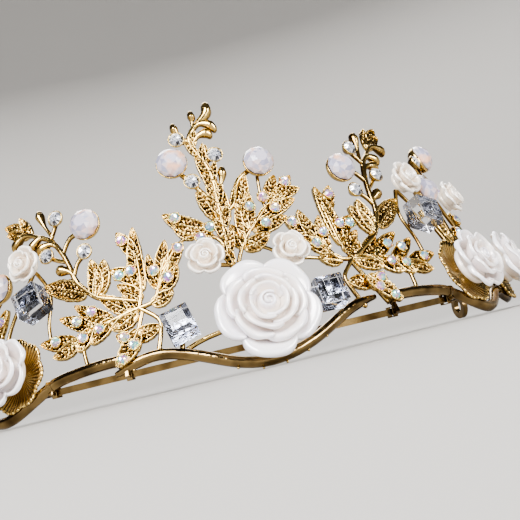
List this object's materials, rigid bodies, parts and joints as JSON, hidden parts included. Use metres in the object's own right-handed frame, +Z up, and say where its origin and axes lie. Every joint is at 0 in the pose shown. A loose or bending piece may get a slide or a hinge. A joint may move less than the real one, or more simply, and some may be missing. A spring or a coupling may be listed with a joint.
{
  "type": "flower crown",
  "caption": "Gilt metal flower crown with leafy sprays, resin roses, opal and clear stones and glass cubes on a sprung headband.",
  "frame": {"origin": "middle of the crown's footprint, on the surface it rests on", "axes": "+Z up, -Y towards the front of the crown with the large rose, +X to the viewer's right seen from the front"},
  "size_m": [0.1388, 0.0935, 0.057],
  "materials": {
    "gilt_casting": "bright pale gold plating on a zinc casting",
    "gilt_steel": "bright pale gold plating on spring steel",
    "pearl_resin": "pearly white resin with a shell lustre",
    "ivory_resin": "ivory resin with a soft lustre",
    "clear_glass": "cut and polished, foiled behind",
    "opal_glass": "milky, cut and polished",
    "iridescent_glass": "cut and polished with an iridescent coat"
  },
  "bodies": {
    "root": {"headband": "gilt_steel", "gilt_frame": "gilt_casting", "big_rose": "pearl_resin", "medium_rose_1": "pearl_resin", "medium_rose_2": "pearl_resin", "medium_rose_3": "pearl_resin", "medium_rose_4": "pearl_resin", "small_rose_1": "ivory_resin", "small_rose_2": "ivory_resin", "small_rose_3": "ivory_resin", "small_rose_4": "ivory_resin", "small_rose_5": "ivory_resin", "small_rose_6": "ivory_resin", "glass_cube_1": "clear_glass", "glass_cube_2": "clear_glass", "glass_cube_3": "clear_glass", "glass_cube_4": "clear_glass", "opal_1": "opal_glass", "opal_2": "opal_glass", "opal_3": "opal_glass", "opal_4": "opal_glass", "opal_5": "opal_glass", "opal_6": "opal_glass", "opal_7": "opal_glass", "opal_8": "opal_glass", "clear_stone_1": "clear_glass", "clear_stone_2": "clear_glass", "clear_stone_3": "clear_glass", "clear_stone_4": "clear_glass", "clear_stone_5": "clear_glass", "clear_stone_6": "clear_glass", "clear_stone_7": "clear_glass", "clear_stone_8": "clear_glass", "clear_stone_9": "clear_glass", "clear_stone_10": "clear_glass", "clear_stone_11": "clear_glass", "clear_stone_12": "clear_glass", "clear_stone_13": "clear_glass", "small_stones_front": "iridescent_glass", "small_stones_left": "iridescent_glass", "small_stones_right": "iridescent_glass", "small_stones_far_left": "iridescent_glass", "small_stones_far_right": "iridescent_glass"}
  },
  "joints": []
}
